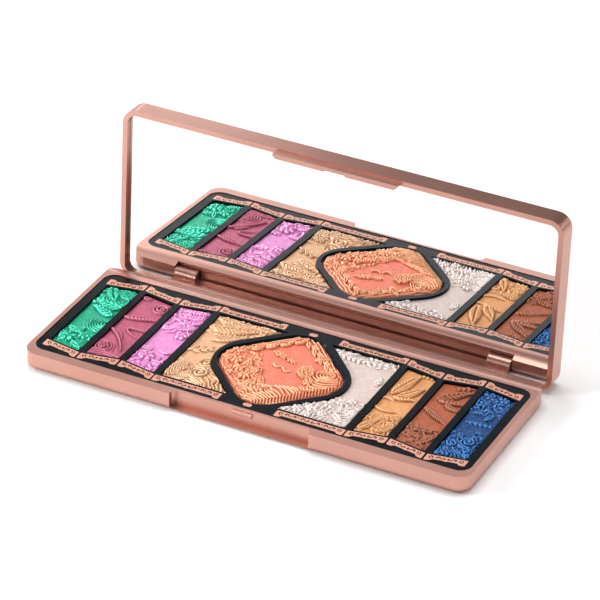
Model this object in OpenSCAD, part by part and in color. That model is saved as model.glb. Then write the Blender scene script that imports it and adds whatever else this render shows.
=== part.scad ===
// Eyeshadow palette: a hinged case with a mirror in its lid and nine pressed powders in its base.
// Millimetres, +Z up. The origin is the middle of the underside of the base, +Y points to the hinge.
// The lid's parts are drawn on the closed case, then turned to the open position about the hinge.

/* [Case] */
// Width of the case, left to right
case_w = 160; // [140:1:200]
// Depth of the case, front to back
case_d = 62.8; // [52:0.1:80]
// Height of the base, up to its rim
base_h = 6.6; // [6.2:0.1:9]
// Thickness of the lid, from its rim to its back
lid_t = 8.1; // [7:0.1:10]
// Corner radius of the case, seen from above
corner_r = 5.2; // [4.8:0.1:8]
// Rounding of the lower edge of the base
base_edge_r = 2.2; // [1:0.1:2.5]
// Rounding of the lid's back edge
lid_edge_r = 1.2; // [0.8:0.1:2.5]
// Thickness of the base's floor
floor_t = 1.2; // [0.8:0.1:1.4]
// Width of the rim at the two sides of the base
side_rim = 1.64; // [1.2:0.02:2.5]
// Width of the rim along the front of the base
front_rim = 3.75; // [3.4:0.05:5]
// Width of the flat and rounded rim behind the insert
rear_rim = 6.3; // [6.2:0.05:8]
// Gap between the base's rim and the lid's rim when the case is closed
parting_gap = 0.1; // [0.05:0.05:0.3]

/* [Hinge] */
// How far the lid opens from closed
open_angle = 93; // [80:0.5:96]
// Height of the hinge line above the underside
hinge_z = 1.85; // [1.7:0.05:2.2]
// Distance from the middle to each shoulder of the base
shoulder_x = 62.7; // [50:0.1:65]
// Radius of the lid's barrels
barrel_r = 2.8; // [2.2:0.1:2.9]
// Length of each barrel
barrel_len = 8.2; // [6:0.1:12]
// Diameter of the hinge pins
pin_d = 1.5; // [1:0.05:1.6]
// Depth to which each pin is pressed into its shoulder
pin_grip = 5; // [3:0.5:8]
// Running clearance round a pin, on the radius
pin_fit = 0.05; // [0.02:0.01:0.09]
// Depth of the groove behind the base, from the rim to the groove's floor
groove_drop = 2.05; // [1.8:0.05:2.2]
// Height of that groove
groove_h = 0.9; // [0.6:0.05:1]
// Gap between a barrel and the base beside it
barrel_gap = 0.25; // [0.15:0.05:0.4]
// Radius of the round fall of the base's rim towards the back
rear_round_r = 9; // [7:0.5:14]
// Depth of that round fall, from its start to the back face
rear_round_d = 5.4; // [4.5:0.1:6]
// How far the open lid's lower edge stays above the surface
table_gap = 0.02; // [0.01:0.01:0.1]

/* [Catch] */
// Width of the finger notch in the front of the base
notch_w = 50; // [40:0.5:70]
// Depth of the notch
notch_d = 2.8; // [2.4:0.1:3]
// Height of the lip below the notch
notch_lip = 1.15; // [0.8:0.05:1.6]
// Chamfer in the inner corners of the notch
notch_chamfer = 1.1; // [0.5:0.1:1.5]
// How far the lid's tab hangs below the lid's rim
tab_len = 3.2; // [3:0.1:4.5]
// Thickness of the tab
tab_t = 1.7; // [1.5:0.05:1.75]
// Distance from the lid's front face to the tab's outer face
tab_inset = 0.5; // [0.2:0.05:0.55]
// Gap between the tab and each end of the notch
tab_end_gap = 2.4; // [0.2:0.1:4]
// Width of the catch bead
bead_w = 7.2; // [5:0.1:10]
// Height of the catch bead
bead_h = 1.4; // [1.2:0.1:1.5]
// How far the bead stands out of the notch's wall
bead_out = 0.9; // [0.75:0.05:0.95]
// Depth of the bead's middle below the rim
bead_drop = 1.6; // [1.5:0.1:1.7]
// Gap between the bead and each end of the slot in the tab
bead_gap = 0.25; // [0.2:0.05:0.4]
// Depth of that slot
slot_d = 0.7; // [0.6:0.05:0.8]
// Radius of the ridge across the slot, which snaps past the bead
ridge_r = 0.5; // [0.45:0.01:0.52]
// How far the ridge's middle lies below the bead's middle in the closed case
ridge_drop = 0.75; // [0.72:0.01:0.85]

/* [Insert] */
// Depth of the insert's face below the base's rim
insert_drop = 0.25; // [0.1:0.05:0.5]
// Thickness of the insert's face plate
plate_t = 1; // [0.8:0.05:1.2]
// Corner radius of the insert
insert_r = 4.3; // [3:0.1:5]
// Gap round the insert and round each pan
fit_gap = 0.1; // [0.05:0.05:0.2]
// How much further back the wide openings reach than the narrow ones
wide_back = 0.4; // [0:0.1:1.5]
// Black border left and right of the row of openings
side_border = 3.1; // [2.5:0.1:5]
// Black border in front of and behind the openings
end_border = 5.35; // [4.5:0.05:7]
// Width of the dividers between narrow openings
divider_w = 2.3; // [2:0.1:3]
// Distance from the middle to the outer edge of each wide opening
wide_edge_x = 33.4; // [32:0.1:38]
// Black border between the centre opening's points and the insert's edges
centre_border = 4.7; // [4.2:0.1:6]
// Rounding of the centre opening's points
centre_r = 9.5; // [7:0.5:12]
// Rounding of the centre ring's outside at its points
ring_r = 14; // [12:0.5:16]
// Width of the ring round the centre opening
ring_w = 2.8; // [2.5:0.1:3.2]
// Chamfer round the top of the centre opening
ring_chamfer = 0.7; // [0.4:0.1:0.8]
// Corner radius of the other openings
opening_r = 0.8; // [0.5:0.1:1.5]
// How much shorter one long side of each narrow opening is than the other, at each end
end_slant = 2; // [0:0.1:3]

/* [Pans] */
// How far each pan reaches under the face plate
pan_lap = 0.4; // [0.2:0.05:0.5]
// Sheet thickness of the pans
pan_t = 0.3; // [0.2:0.05:0.4]
// Thickness of the adhesive under each pan
glue_t = 0.15; // [0.1:0.05:0.3]
// Adhesive's inset from the pan's edge
glue_inset = 0.8; // [0.5:0.1:2]
// Depth of the powder's surface below the insert's face
powder_drop = 1.2; // [1.1:0.05:1.5]
// Height of the centre powder's edge relative to the insert's face
dome_edge = -0.2; // [-0.4:0.05:0]
// Rise of the centre powder from its edge to its middle
dome_rise = 0.7; // [0.3:0.05:1]
// Width of the centre powder's sloping border
dome_slope = 6; // [3:0.5:6]
// Gap between the centre powder and the opening's wall
dome_gap = 0.15; // [0.1:0.05:0.3]

/* [Mirror] */
// Width of the lid's rim at the sides and front
lid_rim = 1.82; // [1.5:0.02:2.5]
// Thickness of the lid's wall beside the hinge
lid_rear_wall = 1.1; // [0.9:0.05:1.2]
// Depth of the mirror's face below the lid's rim
mirror_drop = 1.9; // [1:0.1:2.2]
// Thickness of the mirror
mirror_t = 1.2; // [1:0.1:1.5]
// Thickness of the board behind the mirror
board_t = 0.8; // [0.6:0.1:1]
// Thickness of the lid's back
lid_skin = 1.5; // [1:0.1:1.6]
// Width of the ledge that carries the board's edge
ledge_w = 1.4; // [1:0.1:2]
// Thickness of the ribs inside the lid
rib_t = 1; // [0.8:0.1:1.5]
// Number of ribs across the lid
rib_count = 7; // [3:1:11]

/* [Hidden] */
$fn = 96;
eps = 0.01;
small_r = 0.1;
big = 300;

shades = ["emerald", "rose", "orchid", "champagne", "coral", "pearl", "gold", "bronze", "sapphire"];
narrow_per_side = 3;
centre_index = 4;

insert_w = case_w - 2 * side_rim;
insert_d = case_d - front_rim - rear_rim;
insert_y = (front_rim - rear_rim) / 2;
insert_z = base_h - insert_drop;
plate_z = insert_z - plate_t;
pan_z = floor_t + glue_t;
pan_top = plate_z - fit_gap / 2;
powder_z = insert_z - powder_drop;
opening_d = insert_d - 2 * end_border;
narrow_room = insert_w / 2 - side_border - wide_edge_x;
narrow_w = narrow_room / narrow_per_side - divider_w;
narrow_pitch = narrow_w + divider_w;
centre_reach = insert_d / 2 - centre_border;
centre_a = (centre_reach + (sqrt(2) - 1) * centre_r) / sqrt(2);
ring_a = centre_a + ring_w;

lid_z = base_h + parting_gap;
lid_top = lid_z + lid_t;
mirror_z = lid_z + mirror_drop;
board_z = mirror_z + mirror_t + glue_t;
rib_z = board_z + board_t;
skin_z = lid_top - lid_skin;
lid_inner_r = corner_r - lid_rim;
lid_lean = cos(open_angle) * (lid_top - lid_edge_r - hinge_z);
hinge_inset = lid_edge_r + (hinge_z - lid_edge_r - table_gap + lid_lean) / sin(open_angle);
hinge_y = case_d / 2 - hinge_inset;
lid_well_d = case_d - lid_rim - lid_rear_wall;
lid_well_y = (lid_rim - lid_rear_wall) / 2;

barrel_out = shoulder_x - barrel_gap;
barrel_in = barrel_out - barrel_len;
barrel_floor = 0.2;
rear_wall_y = hinge_y - 0.9;
rear_lip_y = rear_wall_y + 0.2;
groove_y = rear_wall_y - 0.9;
groove_z = base_h - groove_drop;
skirt_end_z = hinge_z + 0.1;
skirt_gap = 0.3;
notch_y = -case_d / 2 + notch_d;
tab_y = -case_d / 2 + tab_inset;
bead_z = base_h - bead_drop;
bead_r = (bead_h * bead_h / 4 + bead_out * bead_out) / (2 * bead_out);

shell_colour = [0.85, 0.66, 0.60];
insert_colour = [0.09, 0.12, 0.15];
tin_colour = [0.75, 0.75, 0.77];
glue_colour = [0.90, 0.88, 0.80];
pin_colour = [0.70, 0.70, 0.72];
board_colour = [0.30, 0.30, 0.32];
mirror_colour = [0.80, 0.84, 0.86];
powder_colours = [
    [0.16, 0.70, 0.54],
    [0.76, 0.42, 0.52],
    [0.86, 0.52, 0.77],
    [0.88, 0.72, 0.56],
    [0.93, 0.56, 0.45],
    [0.82, 0.77, 0.76],
    [0.80, 0.62, 0.42],
    [0.62, 0.38, 0.27],
    [0.15, 0.30, 0.55]
];

// ---- Shared shapes ----

// Rectangle with round corners, about the origin
module round_rect(w, d, r) {
    square([w - 2 * r, d], center = true);
    square([w, d - 2 * r], center = true);
    for (x = [-1, 1], y = [-1, 1])
        translate([x * (w / 2 - r), y * (d / 2 - r)])
            circle(r);
}

module round_block(w, d, h, r) {
    linear_extrude(h) round_rect(w, d, r);
}

// Upright profile of a plate's edge: square above, rounded below, reaching from x = 0 to x = reach
module edge_profile(reach, h, edge_r) {
    translate([0, edge_r]) square([reach, h - edge_r]);
    square([reach - edge_r, h]);
    translate([reach - edge_r, edge_r]) circle(edge_r);
}

// Plate with round corners and a rounded lower edge, standing on z = 0
module soft_plate(w, d, h, r, edge_r) {
    for (x = [-1, 1], y = [-1, 1])
        translate([x * (w / 2 - r), y * (d / 2 - r), 0])
            rotate_extrude() intersection() {
                edge_profile(r, h, edge_r);
                square([r + 1, h]);
            }
    for (turn = [0, 180]) {
        rotate([0, 0, turn]) translate([0, d / 2 - r, 0])
            soft_side(w - 2 * r, r, h, edge_r);
        rotate([0, 0, turn]) translate([w / 2 - r, 0, 0]) rotate([0, 0, -90])
            soft_side(d - 2 * r, r, h, edge_r);
    }
    translate([0, 0, h / 2]) cube([w - 2 * r, d - 2 * r, h], center = true);
}

// One straight side of a soft plate: its profile drawn out along x, facing +y
module soft_side(length, reach, h, edge_r) {
    rotate([90, 0, 90])
        linear_extrude(length, center = true)
            edge_profile(reach, h, edge_r);
}

// Turns a part of the lid from the closed case to the open position
module opened() {
    translate([0, hinge_y, hinge_z])
        rotate([-open_angle, 0, 0])
            translate([0, -hinge_y, -hinge_z])
                children();
}

// Bar along x between two values, about the hinge line
module hinge_rod(x0, x1, r) {
    translate([x0, hinge_y, hinge_z]) rotate([0, 90, 0]) cylinder(r = r, h = x1 - x0);
}

// ---- Outlines of the nine openings, which grow or shrink together with what fits them ----

// Four-sided shape with round corners: w wide, reach half its height in the middle, slope the rise of
// its ends per millimetre towards +x. It grows or shrinks evenly all round.
module keystone(w, reach, slope, r, grow) {
    core_r = max(r, small_r - grow);
    end_r = core_r + grow;
    x = w / 2 - core_r;
    drop = core_r * sqrt(1 + slope * slope);
    tilt = atan(slope);
    corners = [
        [x, -reach - slope * x + drop],
        [x, reach + slope * x - drop],
        [-x, reach - slope * x - drop],
        [-x, -reach + slope * x + drop]
    ];
    directions = [-90 - tilt, 0, 90 + tilt, 180, 270 - tilt];
    polygon([
        for (i = [0:3], side = [0, 1])
            corners[i] + end_r * [cos(directions[i + side]), sin(directions[i + side])]
    ]);
    for (c = corners) translate(c) circle(end_r);
}

// Square with round corners standing on one of its points
module diamond(a, r) {
    rotate(45) round_rect(2 * a, 2 * a, r);
}

module centre_outline(grow) {
    diamond(centre_a + grow, centre_r + grow);
}

module ring_outline(grow) {
    diamond(ring_a + grow, ring_r + grow);
}

// Wide opening on the right: a rectangle with the ring taken out of it
module wide_outline(grow) {
    difference() {
        translate([wide_edge_x / 2 + grow, wide_back / 2])
            round_rect(wide_edge_x, opening_d + wide_back + 2 * grow, opening_r);
        ring_outline(-grow);
        translate([-big + ring_a / 8, -big / 2]) square([big, big]);
    }
}

function narrow_x(n) = wide_edge_x + divider_w + narrow_w / 2 + n * narrow_pitch;

// The openings' ends run in a zigzag: the long side is the inner one, then the outer one, in turn
function narrow_slope(n) = (n % 2 == 0 ? -1 : 1) * end_slant / narrow_w;

module outline(i, grow) {
    side = i < centre_index ? -1 : 1;
    rank = abs(i - centre_index) - 2;
    translate([0, insert_y])
        if (i == centre_index)
            centre_outline(grow);
        else if (rank < 0)
            mirror([side < 0 ? 1 : 0, 0]) wide_outline(grow);
        else
            mirror([side < 0 ? 1 : 0, 0]) translate([narrow_x(rank), 0])
                keystone(narrow_w, (opening_d - end_slant) / 2, narrow_slope(rank), opening_r, grow);
}

module slab(i, grow, z0, z1) {
    translate([0, 0, z0]) linear_extrude(z1 - z0) outline(i, grow);
}

// ---- Base ----

// The round fall of the rim towards the back, as the material to take away
module rear_round_cut() {
    start_y = case_d / 2 - rear_round_d;
    rotate([90, 0, 90]) linear_extrude(big, center = true)
        difference() {
            translate([start_y, base_h - rear_round_r]) square([big, big]);
            translate([start_y, base_h - rear_round_r]) circle(rear_round_r, $fn = 240);
        }
}

// The space behind the base that the lid's skirt moves in, with the groove under the rim
module rear_cut() {
    rotate([90, 0, 90]) linear_extrude(2 * shoulder_x, center = true)
        polygon([
            [case_d, -1],
            [rear_wall_y, -1],
            [rear_wall_y, groove_z],
            [groove_y, groove_z],
            [groove_y, groove_z + groove_h],
            [rear_lip_y, groove_z + groove_h],
            [rear_lip_y, 2 * base_h],
            [case_d, 2 * base_h]
        ]);
}

// Outline of the notch, or of what sits in it with a gap at each end, seen from above
module notch_outline(end_gap, front_y, back_y) {
    half = notch_w / 2 - end_gap;
    polygon([
        [-half, front_y],
        [half, front_y],
        [half, back_y - notch_chamfer],
        [half - notch_chamfer, back_y],
        [-half + notch_chamfer, back_y],
        [-half, back_y - notch_chamfer]
    ]);
}

// Round bar along x, about the middle of the case
module cross_bar(y, z, r, length) {
    translate([0, y, z]) rotate([0, 90, 0]) cylinder(r = r, h = length, center = true);
}

module base_shell() {
    color(shell_colour) {
        difference() {
            soft_plate(case_w, case_d, base_h, corner_r, base_edge_r);
            rear_round_cut();
            rear_cut();
            translate([0, insert_y, floor_t])
                round_block(insert_w, insert_d, base_h, insert_r);
            translate([0, 0, notch_lip]) linear_extrude(base_h)
                notch_outline(0, -case_d, notch_y);
            for (side = [-1, 1]) {
                pocket_x = side * (barrel_in - barrel_gap + shoulder_x) / 2;
                translate([pocket_x - (barrel_len + 2 * barrel_gap) / 2, 0, 0])
                    hinge_rod(0, barrel_len + 2 * barrel_gap, barrel_r + barrel_gap);
                mirror([side < 0 ? 1 : 0, 0, 0])
                    hinge_rod(shoulder_x - 1, shoulder_x + pin_grip, pin_d / 2);
            }
        }
        intersection() {
            cross_bar(notch_y + bead_r - bead_out, bead_z, bead_r, bead_w);
            translate([-bead_w, -case_d / 2, notch_lip]) cube([2 * bead_w, notch_d + bead_out / 4, base_h]);
        }
    }
}

module insert_frame() {
    color(insert_colour) difference() {
        translate([0, insert_y, floor_t])
            round_block(insert_w - 2 * fit_gap, insert_d - 2 * fit_gap, insert_z - floor_t, insert_r - fit_gap);
        for (i = [0:len(shades) - 1]) {
            slab(i, pan_lap + fit_gap, -eps, plate_z);
            slab(i, 0, plate_z - eps, base_h + 1);
        }
        translate([0, insert_y, insert_z - ring_chamfer]) rotate(45)
            corner_frustum(centre_a - centre_r, centre_r, centre_r + ring_chamfer, ring_chamfer + eps);
    }
}

// Block with four round corners that widens upwards, about the origin
module corner_frustum(c, r0, r1, h) {
    for (x = [-c, c], y = [-c, c])
        translate([x, y, 0]) cylinder(r1 = r0, r2 = r1, h = h);
    for (turn = [0, 90])
        rotate([0, 0, turn]) rotate([90, 0, 90]) linear_extrude(2 * c, center = true)
            polygon([[-c - r0, 0], [c + r0, 0], [c + r1, h], [-c - r1, h]]);
}

module pan(i) {
    color(tin_colour) difference() {
        slab(i, pan_lap, pan_z, pan_top);
        slab(i, pan_lap - pan_t, pan_z + pan_t, base_h);
    }
}

module powder(i) {
    color(powder_colours[i])
        if (i == centre_index)
            domed_powder();
        else
            slab(i, pan_lap - pan_t, pan_z + pan_t, powder_z);
}

// The centre powder fills its pan and rises through the opening to a shallow crown
module domed_powder() {
    edge_z = insert_z + dome_edge;
    edge_r = centre_r - dome_gap;
    slab(centre_index, pan_lap - pan_t, pan_z + pan_t, pan_top);
    slab(centre_index, -dome_gap, pan_z + pan_t, edge_z);
    translate([0, insert_y, edge_z - eps]) rotate(45)
        corner_frustum(centre_a - centre_r, edge_r, edge_r - dome_slope, dome_rise + eps);
}

module pan_adhesive() {
    color(glue_colour)
        for (i = [0:len(shades) - 1])
            slab(i, pan_lap - glue_inset, floor_t, pan_z);
}

module hinge_pin(side) {
    color(pin_colour) mirror([side < 0 ? 1 : 0, 0, 0])
        hinge_rod(barrel_in + barrel_gap, shoulder_x + pin_grip, pin_d / 2);
}

// ---- Lid ----

module lid_outside() {
    translate([0, 0, lid_top]) mirror([0, 0, 1])
        soft_plate(case_w, case_d, lid_t, corner_r, lid_edge_r);
}

// The skirt beside the hinge, which closes the gap behind the base
module lid_skirt() {
    skirt_w = 2 * (shoulder_x - skirt_gap);
    translate([-skirt_w / 2, case_d / 2 - lid_rear_wall, skirt_end_z])
        cube([skirt_w, lid_rear_wall, lid_z - skirt_end_z + 1]);
}

// The barrels, trimmed below and behind so that they stay above the surface all through the swing
module lid_barrels() {
    difference() {
        intersection() {
            for (side = [0, 1])
                mirror([side, 0, 0]) hinge_rod(barrel_in, barrel_out, barrel_r);
            translate([-big / 2, 0, barrel_floor]) cube([big, case_d / 2, big]);
        }
        difference() {
            translate([-big / 2, hinge_y, hinge_z - big]) cube([big, big, big]);
            hinge_rod(-big / 2, big / 2, hinge_z - table_gap);
        }
    }
}

// The tab, with a slot for the bead in its inner face and a ridge across the slot
module lid_tab() {
    free_z = lid_z - tab_len;
    slot_w = bead_w + 2 * bead_gap;
    slot_y = tab_y + tab_t - slot_d;
    difference() {
        translate([0, 0, free_z]) linear_extrude(tab_len + 1)
            notch_outline(tab_end_gap, tab_y, tab_y + tab_t);
        translate([-slot_w / 2, slot_y, free_z - 1]) cube([slot_w, tab_t, tab_len + 1]);
    }
    intersection() {
        cross_bar(slot_y, bead_z - ridge_drop, ridge_r, slot_w);
        translate([-slot_w / 2, slot_y - eps, free_z]) cube([slot_w, tab_t, tab_len]);
    }
}

module lid_well() {
    well_w = case_w - 2 * lid_rim;
    translate([0, lid_well_y, lid_z - eps]) round_block(well_w, lid_well_d, rib_z - lid_z + eps, lid_inner_r);
    difference() {
        translate([0, lid_well_y, rib_z - eps])
            round_block(well_w - 2 * ledge_w, lid_well_d - 2 * ledge_w, skin_z - rib_z + eps, lid_inner_r - ledge_w);
        for (n = [1:rib_count])
            translate([(n / (rib_count + 1) - 0.5) * well_w, 0, skin_z])
                cube([rib_t, case_d, big / 4], center = true);
        translate([0, lid_well_y, skin_z]) cube([case_w, rib_t, big / 4], center = true);
    }
}

module lid_shell() {
    color(shell_colour) opened() difference() {
        union() {
            difference() {
                lid_outside();
                lid_well();
            }
            lid_skirt();
            lid_barrels();
            lid_tab();
        }
        for (side = [0, 1])
            mirror([side, 0, 0]) hinge_rod(barrel_in - 1, barrel_out + 1, pin_d / 2 + pin_fit);
    }
}

// Sheet that lies in the lid's well, with a gap all round
module well_sheet(gap, z0, z1) {
    opened() translate([0, lid_well_y, z0])
        round_block(case_w - 2 * lid_rim - 2 * gap, lid_well_d - 2 * gap, z1 - z0, lid_inner_r - gap);
}

module mirror_board() {
    color(board_colour) well_sheet(fit_gap, board_z, rib_z);
}

module mirror_adhesive() {
    color(glue_colour) well_sheet(glue_inset, board_z - glue_t, board_z);
}

module mirror_glass() {
    color(mirror_colour) well_sheet(fit_gap, mirror_z, board_z - glue_t);
}

base_shell();
insert_frame();
pan_adhesive();
for (i = [0:len(shades) - 1]) {
    pan(i);
    powder(i);
}
hinge_pin(-1);  // hinge_pin_left
hinge_pin(1);  // hinge_pin_right
lid_shell();
mirror_board();
mirror_adhesive();
mirror_glass();  // mirror
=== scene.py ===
"""Looks of a hinged eyeshadow palette: embossed powders, foil ornament, materials, light and camera.

Lengths in the script are millimetres, in the CAD model's own frame, and become metres when meshes are made.
"""

import math

import bpy
import numpy as np
from mathutils import Matrix, Vector


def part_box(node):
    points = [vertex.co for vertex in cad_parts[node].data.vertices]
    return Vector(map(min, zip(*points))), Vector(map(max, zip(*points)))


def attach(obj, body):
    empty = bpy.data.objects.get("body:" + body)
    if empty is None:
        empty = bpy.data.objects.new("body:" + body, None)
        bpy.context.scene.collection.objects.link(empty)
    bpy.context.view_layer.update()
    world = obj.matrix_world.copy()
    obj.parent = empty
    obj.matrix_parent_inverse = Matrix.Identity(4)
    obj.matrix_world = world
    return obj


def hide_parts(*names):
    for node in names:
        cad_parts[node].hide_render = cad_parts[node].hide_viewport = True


MM = 0.001

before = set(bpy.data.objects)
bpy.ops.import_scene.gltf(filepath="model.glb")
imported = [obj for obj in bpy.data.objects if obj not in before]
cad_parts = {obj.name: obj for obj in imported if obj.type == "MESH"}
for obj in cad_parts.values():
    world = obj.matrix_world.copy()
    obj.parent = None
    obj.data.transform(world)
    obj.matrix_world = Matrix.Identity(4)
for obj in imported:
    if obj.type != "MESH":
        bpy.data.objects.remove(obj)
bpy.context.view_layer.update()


def box_mm(node):
    """Lowest and highest corner of a CAD node, in millimetres."""
    low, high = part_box(node)
    return np.array(low) / MM, np.array(high) / MM


# ---- Sizes that the CAD model shares with the pieces made here ----

LEFT_SHADES = ["emerald", "rose", "orchid"]
RIGHT_SHADES = ["gold", "bronze", "sapphire"]
POWDER_LAP = 0.1        # how far a CAD powder reaches past its opening
EDGE_GAP = 0.06         # gap between a powder and the wall of its opening
END_SLANT = 2.0         # a narrow opening's long side is this much longer at each end
CORNER_R = 0.8          # corners of the narrow and wide openings
RING_A = 20.91          # half the side of the square ring round the centre, turned by 45 degrees
RING_R = 14.0           # rounding of the ring's points
CENTRE_A = 18.11        # the same two sizes of the centre opening
CENTRE_R = 9.5
CENTRE_GAP = 0.15       # gap between the centre powder and the wall of its opening
CAKE_RISE = 0.35        # ground level of the embossed powders, above the flat CAD powders' faces

INSERT_LOW, INSERT_HIGH = box_mm("insert_frame")
INSERT_Y = (INSERT_LOW[1] + INSERT_HIGH[1]) / 2
PLATE_Z = INSERT_HIGH[2]
POWDER_FLOOR_Z = box_mm("powder_rose")[0][2]
CAKE_Z = box_mm("powder_rose")[1][2] + CAKE_RISE


# ---- Relief: height fields for the embossed powders ----

LATTICE = 64            # random values along each side of the noise's repeating lattice

# Added to a powder's seed, so that each of its noises is another one
MASK_SEED, WAVES_SEED = 7, 31
CRUMPLE_X_SEED, CRUMPLE_Y_SEED, FOLDS_SEED, FINE_SEED = 41, 42, 43, 44
LUMPS_SEED, GRAIN_SEED = 50, 60
# The coral powder's border has two seeds of its own
CORAL_EDGE_SEED, CORAL_DRIFT_SEED = 5, 6
BEADS_SEED_STEP = 101   # a powder's seed times this, plus a cluster's own seed, places its beads


def smooth_noise(x, y, size, seed):
    """Random field between -1 and 1 with features about size across."""
    lattice = np.random.default_rng(seed).uniform(-1, 1, (LATTICE, LATTICE))
    i, j = np.floor(x / size).astype(int), np.floor(y / size).astype(int)
    s, t = x / size - i, y / size - j
    s, t = s * s * (3 - 2 * s), t * t * (3 - 2 * t)

    def at(di, dj):
        return lattice[(i + di) % LATTICE, (j + dj) % LATTICE]

    near = (1 - s) * at(0, 0) + s * at(1, 0)
    far = (1 - s) * at(0, 1) + s * at(1, 1)
    return (1 - t) * near + t * far


class Relief:
    """Heights over a grid of points; each motif is laid over what is already there."""

    UNDER = 0.3     # share of the lower relief that shows through a motif on top of it

    def __init__(self, x, y, seed):
        self.x, self.y, self.seed = x, y, seed
        self.h = np.zeros_like(x)

    def turned(self, x, y, angle):
        """Coordinates along and across a direction, from a point."""
        c, s = math.cos(math.radians(angle)), math.sin(math.radians(angle))
        dx, dy = self.x - x, self.y - y
        return dx * c + dy * s, dy * c - dx * s

    def lay(self, shape, inside):
        """Lays a motif's heights over the relief, inside a mask."""
        self.h = np.where(inside, shape + self.UNDER * self.h, self.h)

    def leaf(self, x, y, angle, length, width, height=0.45, veins=7, bend=0.0, notch=0.0):
        """Veined leaf from its stem at (x, y); notch cuts its edge into lobes, as on a fern or a feather."""
        along, across = self.turned(x, y, angle)
        u = along / length
        across = across - bend * length * u * u
        full = np.clip(u, 0, 1)
        phase = 2 * math.pi * (u * veins - 0.9 * np.abs(across) / width * veins * width / length)
        half = width / 2 * np.sin(math.pi * full ** 0.7) * (1 - notch * (0.5 + 0.5 * np.cos(phase)))
        side = np.abs(across) / np.maximum(half, 1e-6)
        inside = (u > 0) & (u < 1) & (side < 1)
        crown = np.sqrt(np.clip(1 - side ** 2, 0, 1))
        ribs = 0.14 * np.cos(phase) * np.clip(side * 3, 0, 1)
        groove = -0.4 * np.exp(-(across / (0.05 * width + 0.06)) ** 2)
        self.lay(height * (0.55 * crown ** 0.5 + 0.35 * crown + ribs + groove), inside)

    def flower(self, x, y, radius, petals=5, height=0.5, turn=0.0):
        """Cupped flower with a round button in its middle."""
        along, across = self.turned(x, y, turn)
        r = np.hypot(along, across) / radius
        wave = np.abs(np.cos(petals * np.arctan2(across, along) / 2))
        edge = 0.62 + 0.38 * wave ** 0.6
        inside = r < edge
        cup = np.sqrt(np.clip(1 - (r / edge) ** 4, 0, 1)) * (0.45 + 0.35 * wave + 0.3 * r)
        button = 1.0 * np.sqrt(np.clip(1 - (r / 0.26) ** 2, 0, 1))
        self.lay(height * np.maximum(cup, button), inside)

    def beads(self, x, y, reach_x, reach_y, bead=0.42, height=0.4, tilt=0.0, seed=0):
        """Cluster of round grains inside an ellipse."""
        rng = np.random.default_rng(self.seed * BEADS_SEED_STEP + seed)
        step = bead * 1.75
        c, s = math.cos(math.radians(tilt)), math.sin(math.radians(tilt))
        rows = int(reach_y / step / 0.87) + 1
        columns = int(reach_x / step) + 1
        shape = np.zeros_like(self.h)
        for row in range(-rows, rows + 1):
            for column in range(-columns, columns + 1):
                a = (column + 0.5 * (row % 2)) * step + rng.uniform(-0.2, 0.2) * step
                b = row * step * 0.87 + rng.uniform(-0.2, 0.2) * step
                size = bead * rng.uniform(0.75, 1.15)
                if (a / reach_x) ** 2 + (b / reach_y) ** 2 > 1:
                    continue
                px, py = x + a * c - b * s, y + a * s + b * c
                near = (np.abs(self.x - px) < size) & (np.abs(self.y - py) < size)
                if near.any():
                    d2 = ((self.x[near] - px) ** 2 + (self.y[near] - py) ** 2) / size ** 2
                    shape[near] = np.maximum(shape[near], height * np.sqrt(np.clip(1 - d2, 0, 1)))
        self.lay(shape, shape > 0)

    def scroll(self, x, y, radius, pitch=1.3, height=0.4, hand=1, turn=0.0):
        """Spiral ridge."""
        along, across = self.turned(x, y, turn)
        r = np.hypot(along, across)
        arm = r / pitch - hand * np.arctan2(across, along) / (2 * math.pi)
        ridge = np.sin(math.pi * (arm % 1)) ** 1.4
        fade = np.clip((radius - r) / (0.35 * radius), 0, 1) ** 0.5
        self.lay(height * ridge * fade, r < radius)

    def stem(self, points, width=0.5, height=0.35):
        """Round ridge along a curve through three points."""
        a, b, c = (np.array(p, float) for p in points)
        middle = 2 * b - (a + c) / 2
        t = np.linspace(0, 1, 40)[:, None]
        path = (1 - t) ** 2 * a + 2 * t * (1 - t) * middle + t ** 2 * c
        taper = 1 - 0.55 * t[:, 0]
        shape = np.zeros_like(self.h)
        for (px, py), share in zip(path, taper):
            half = width * share
            near = (np.abs(self.x - px) < half) & (np.abs(self.y - py) < half)
            if near.any():
                d2 = ((self.x[near] - px) ** 2 + (self.y[near] - py) ** 2) / half ** 2
                shape[near] = np.maximum(shape[near], height * np.sqrt(np.clip(1 - d2, 0, 1)))
        self.lay(shape, shape > 0)

    def waves(self, x, y, pitch, height, inside, warp=0.5, share=0.0):
        """Flowing ridges round a centre, inside a mask; share raises the whole patch."""
        drift = warp * smooth_noise(self.x, self.y, 2.6, self.seed + WAVES_SEED)
        r = np.hypot(self.x - x, self.y - y) + drift
        ridge = 0.5 + 0.5 * np.cos(2 * math.pi * r / pitch)
        self.lay(height * (share + (1 - share) * ridge ** 1.5), inside)

    def crumple(self, inside, size=1.7, height=0.42):
        """Irregular folds inside a mask, as of small leaves and petals pressed together."""
        x = self.x + 0.6 * size * smooth_noise(self.x, self.y, 1.4 * size, self.seed + CRUMPLE_X_SEED)
        y = self.y + 0.6 * size * smooth_noise(self.x, self.y, 1.4 * size, self.seed + CRUMPLE_Y_SEED)
        folds = 1 - 1.7 * np.abs(smooth_noise(x, y, size, self.seed + FOLDS_SEED))
        fine = 1 - 1.7 * np.abs(smooth_noise(x, y, 0.42 * size, self.seed + FINE_SEED))
        self.lay(height * np.clip(0.68 * folds + 0.32 * fine, 0, 1) ** 1.5, inside)

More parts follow.
